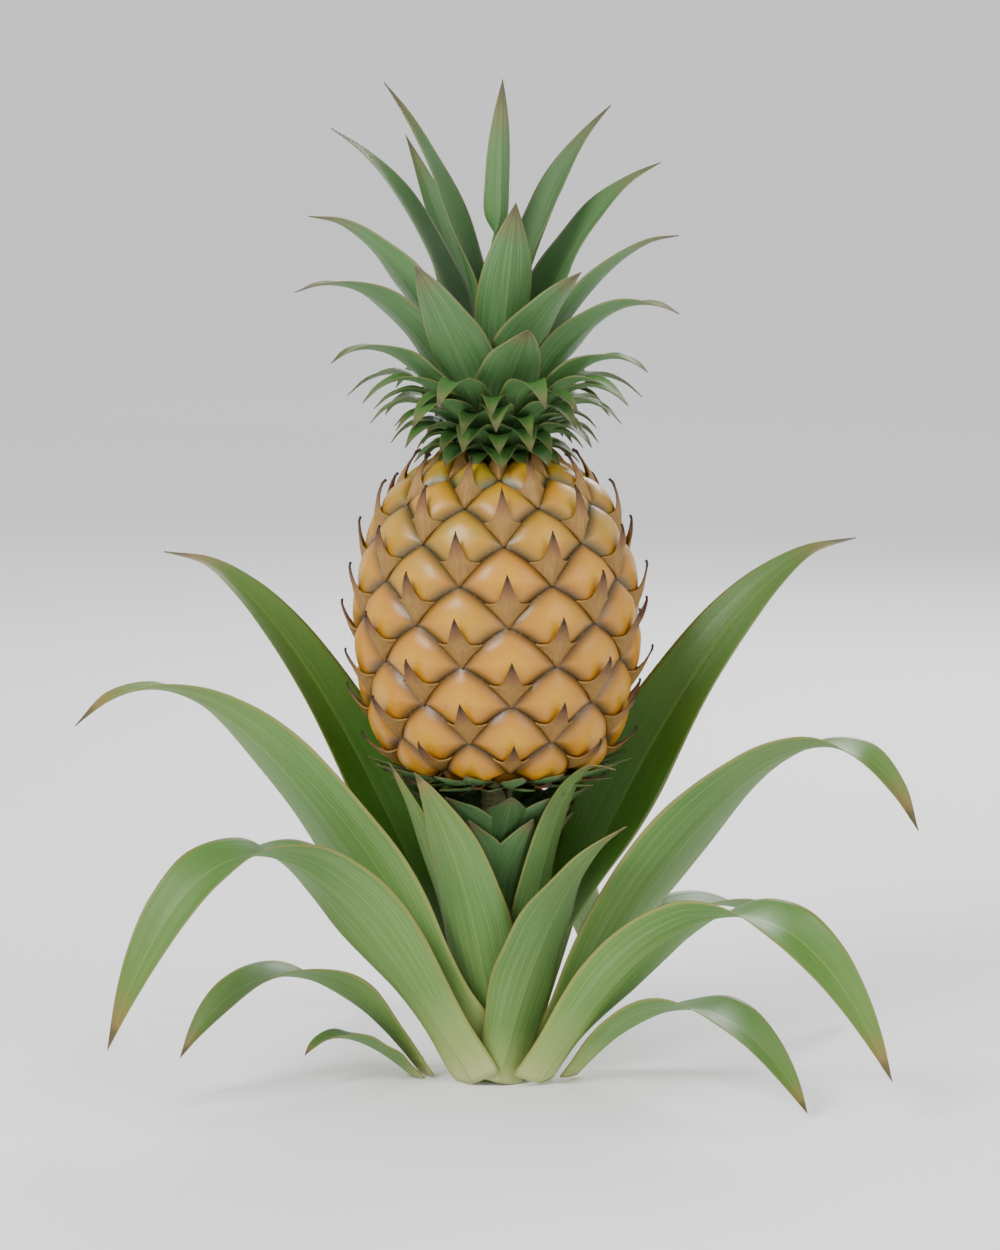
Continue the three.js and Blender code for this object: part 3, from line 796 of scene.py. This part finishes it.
rind = rind_material()
dry_bract = bract_material(
    "papery bract",
    foot=(0.235, 0.125, 0.025, 1.0), middle=(0.150, 0.062, 0.016, 1.0), tip=(0.035, 0.014, 0.006, 1.0),
)
print("finishes:", rind.name, "and", dry_bract.name)

# %% [markdown]
# ## Laying the eyes
# The shields and the bracts are two joined meshes, because they have different finishes. Under the
# shields a plain core fills the fruit, so that no groove is open. It is the outline spun round.

# %% Laying the eyes
def spun_body(points, steps=72):
    """A closed body of revolution about the plant's axis from radius and height points."""
    body = bmesh.new()
    corners = [body.verts.new((radius, 0.0, height)) for radius, height in points]
    edges = [body.edges.new(pair) for pair in zip(corners, corners[1:])]
    bmesh.ops.spin(body, geom=corners + edges, cent=(0, 0, 0), axis=(0, 0, 1),
                   angle=2 * math.pi, steps=steps, use_merge=True, use_duplicate=False)
    bmesh.ops.remove_doubles(body, verts=body.verts, dist=1e-6)
    bmesh.ops.recalc_face_normals(body, faces=body.faces)
    for face in body.faces:
        face.smooth = True
    return body


SUNK = 0.003  # how deep the core lies under the outline
core_top, core_foot = top_height - SUNK, foot_height + SUNK
core_points = [(0.0, core_top)]
for radius, height in outline:
    core_points.append((radius - SUNK, min(max(height, core_foot), core_top)))
core_points.append((0.0, core_foot))
rind_body = spun_body(core_points)
for name in ("from_groove", "ripeness"):
    rind_body.verts.layers.float.new(name)
bract_body = bmesh.new()

RIPE = 0.80
GREENING = 0.85  # ripeness lost on the way up
GREEN_FROM = 0.38  # share of the fruit's height where the greening starts
UNEVEN = 0.09
top_ring_eyes = [(0, bearing + eye_width / 2 - HIGH_EYES * twist) for bearing in high_turn]
for ring, bearing in sorted(eye_middles) + top_ring_eyes:
    height = 1 - ring / last_ring
    green = GREENING * max(0.0, height - GREEN_FROM) ** 1.3
    ripeness = RIPE - green + random.uniform(-UNEVEN, UNEVEN)
    lay_on_fruit(rind_body, shield, ring, bearing, 0.0, {"ripeness": ripeness})
    lay_on_fruit(bract_body, bract, ring, bearing, BRACT_THICKNESS, {})
for face in list(rind_body.faces) + list(bract_body.faces):
    face.smooth = True
fruit_rind = finish_piece("fruit_eyes", rind_body, [rind], ["fruit"])
fruit_bracts = finish_piece("fruit_bracts", bract_body, [dry_bract], [])
print("faces on the fruit:", len(fruit_rind.data.polygons))
print("faces on its bracts:", len(fruit_bracts.data.polygons))

# %% [markdown]
# ## Stem and stalk
# The stem is hidden by the leaves that clasp it, and shows only under the fruit. It is spun from
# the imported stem's own outline, with a low ring where each old leaf came away, and the crown's
# short stem is made in the same way. Leafy bracts clasp the stalk, and under the fruit they spread
# into a rim of points.

# %% Stem finish
def stem_material():
    material, tree, shader = start_material("fibrous stem", 0.7)
    space = add_node(tree, "ShaderNodeTexCoord").outputs["Object"]
    fibres = stretched_noise(tree, space, (260.0, 260.0, 22.0), 5.0)
    scars = stretched_noise(tree, space, (20.0, 20.0, 240.0), 3.0)
    colour = colour_ramp(tree, fibres, [(0.3, (0.25, 0.28, 0.10, 1.0)), (0.7, (0.42, 0.42, 0.20, 1.0))])
    scar_amount = colour_ramp(tree, scars, [(0.55, grey(0.0)), (0.7, grey(0.7))])
    colour = blend_colours(tree, scar_amount, colour, (0.23, 0.15, 0.07, 1.0))
    tree.links.new(colour, shader.inputs["Base Color"])
    roughen(tree, shader, fibres, 0.6, 0.001)
    return material


stem_skin = stem_material()

# %% Stem and stalk
SCAR_PITCH = 0.007
SCAR_RISE = 0.0009
LEVELS_PER_SCAR = 4
STEM_SIDES = 48


def packed_profile(node):
    """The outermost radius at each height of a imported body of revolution, from the foot up."""
    shape = welded_copy(node)
    levels = {}
    for corner in shape.verts:
        height = round(corner.co.z, 4)
        levels[height] = max(levels.get(height, 0.0), radius_of(corner.co))
    shape.free()
    return sorted((height, radius) for height, radius in levels.items())


def scarred_stem(name, node):
    profile = packed_profile(node)
    heights, radii = zip(*profile)
    count = max(6, int((heights[-1] - heights[0]) / SCAR_PITCH)) * LEVELS_PER_SCAR
    points = [(0.0, heights[0])]
    for k in range(count + 1):
        height = heights[0] + (heights[-1] - heights[0]) * k / count
        radius = float(np.interp(height, heights, radii)) - SCAR_RISE
        points.append((radius + (SCAR_RISE if k % LEVELS_PER_SCAR == 0 else 0.0), height))
    points.append((0.0, heights[-1]))
    return finish_piece(name, spun_body(points, STEM_SIDES), [stem_skin], [node])


stem = scarred_stem("stem_with_scars", "stem")
crown_stem = scarred_stem("crown_stem_core", "crown_stem")
print("stem faces:", len(stem.data.polygons), "and", len(crown_stem.data.polygons))

BRACT_STATIONS = 6
BRACT_CHANNEL = 0.45  # how far a stalk bract's edges lift, as a share of its half width


def ringed_leaves(body, count, start, end, width, steps, spread, bend, first):
    """A ring of small leaves from radius and height start to end, each a little different.

    They bend upwards along their length where bend is over 1, and outwards where it is under 1.
    """
    for k in range(count):
        bearing = first + 2 * math.pi * k / count + random.uniform(-spread, spread)
        outward = Vector((math.cos(bearing), math.sin(bearing), 0.0))
        side = Vector((-math.sin(bearing), math.cos(bearing), 0.0))
        reach = random.uniform(0.88, 1.08)
        stations = []
        for step in range(BRACT_STATIONS + 1):
            share = step / BRACT_STATIONS
            radius = start[0] + (end[0] - start[0]) * share * reach
            height = start[1] + (end[1] - start[1]) * share**bend
            rib = outward * radius + Vector((0.0, 0.0, height))
            swell = 0.7 + 0.3 * math.sin(math.pi * share)
            half_width = 0.5 * width * swell * (1 - share**2.2) + 0.0002
            rise = Vector((-outward.x, -outward.y, 0.5)) * half_width * BRACT_CHANNEL
            stations.append((rib, -side * half_width, rise))
        skin_leaf(body, stations, steps, SKIRT_SCALE)


# Two rings turn out as the rim, and two clasp the stalk. Radius and height over the fruit's foot
# are given for each ring's start and end; then width, steps, spread of bearings, bend and turn.
STALK_RINGS = [
    (18, (0.042, -0.005), (0.088, 0.008), 0.019, 14, 0.08, 1.5, 0.0),
    (14, (0.030, -0.008), (0.077, -0.003), 0.022, 14, 0.10, 1.5, 0.2),
    (10, (0.0125, -0.070), (0.066, -0.009), 0.042, 20, 0.10, 0.6, 0.5),
    (9, (0.0135, -0.112), (0.056, -0.026), 0.044, 20, 0.12, 0.6, 0.9),
]
body = leaf_body()
for count, start, end, *shape in STALK_RINGS:
    start = (start[0], foot_height + start[1])
    end = (end[0], foot_height + end[1])
    ringed_leaves(body, count, start, end, *shape)
stalk_bracts = finish_piece("stalk_bracts", body, [crown_upper, crown_under], [])
print("stalk bract faces:", len(stalk_bracts.data.polygons))

# %% [markdown]
# ## Floor and light
# The plant stands on a plain pale floor in soft studio light: a large key from the upper left, a
# weaker fill from the right, a light behind for the leaves' edges, and a pale surround. The
# surround is a little darker low down, as bright as the floor is far away, so that the two meet
# without a line.

# %% Floor and light
def soft_light(name, place, size, power):
    data = bpy.data.lights.new(name, "AREA")
    data.shape = "DISK"
    data.size = size
    data.energy = power
    lamp = bpy.data.objects.new(name, data)
    lamp.location = place
    lamp.rotation_euler = (aim - Vector(place)).to_track_quat("-Z", "Y").to_euler()
    bpy.context.scene.collection.objects.link(lamp)


soft_light("key", (-1.6, -1.9, 2.2), 1.2, 84.0)
soft_light("fill", (2.0, -1.5, 1.2), 1.8, 22.0)
soft_light("rim", (0.8, 2.2, 1.8), 1.2, 44.0)

HORIZON = (0.900, 0.905, 0.915, 1.0)
ZENITH = (0.99, 0.995, 1.0, 1.0)
world = bpy.data.worlds.new("pale studio")
world.use_nodes = True
world_tree = world.node_tree
direction = add_node(world_tree, "ShaderNodeTexCoord").outputs["Generated"]
upward = add_node(world_tree, "ShaderNodeSeparateXYZ", Vector=direction).outputs["Z"]
surround = colour_ramp(world_tree, upward, [(0.0, HORIZON), (1.0, ZENITH)])
world_tree.links.new(surround, world_tree.nodes["Background"].inputs["Color"])
world_tree.nodes["Background"].inputs["Strength"].default_value = 1.0
bpy.context.scene.world = world

FLOOR_SIZE = 40.0
floor_material, floor_tree, floor_shader = start_material("pale floor", 0.8)
floor_space = add_node(floor_tree, "ShaderNodeTexCoord").outputs["Object"]
cloudy = stretched_noise(floor_tree, floor_space, (0.6, 0.6, 0.6), 2.0)
floor_colour = colour_ramp(floor_tree, cloudy, [(0.3, grey(0.90)), (0.7, grey(0.93))])
floor_tree.links.new(floor_colour, floor_shader.inputs["Base Color"])
floor_body = bmesh.new()
bmesh.ops.create_grid(floor_body, x_segments=4, y_segments=4, size=FLOOR_SIZE)
floor_mesh = bpy.data.meshes.new("floor")
floor_body.to_mesh(floor_mesh)
floor_body.free()
floor_mesh.materials.append(floor_material)
floor = bpy.data.objects.new("floor", floor_mesh)
bpy.context.scene.collection.objects.link(floor)
print("lights:", [lamp.name for lamp in bpy.data.lights])

# %% [markdown]
# ## Pieces and triangles
# The pieces that are shown are counted, with their triangles. The finished plant has to
# keep the imported model's size.

# %% Pieces and triangles
shown = [thing for thing in bpy.data.objects if thing.type == "MESH" and "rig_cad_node" not in thing]
triangles = sum(len(poly.vertices) - 2 for thing in shown for poly in thing.data.polygons)
print("pieces:", len(shown), "triangles:", triangles)
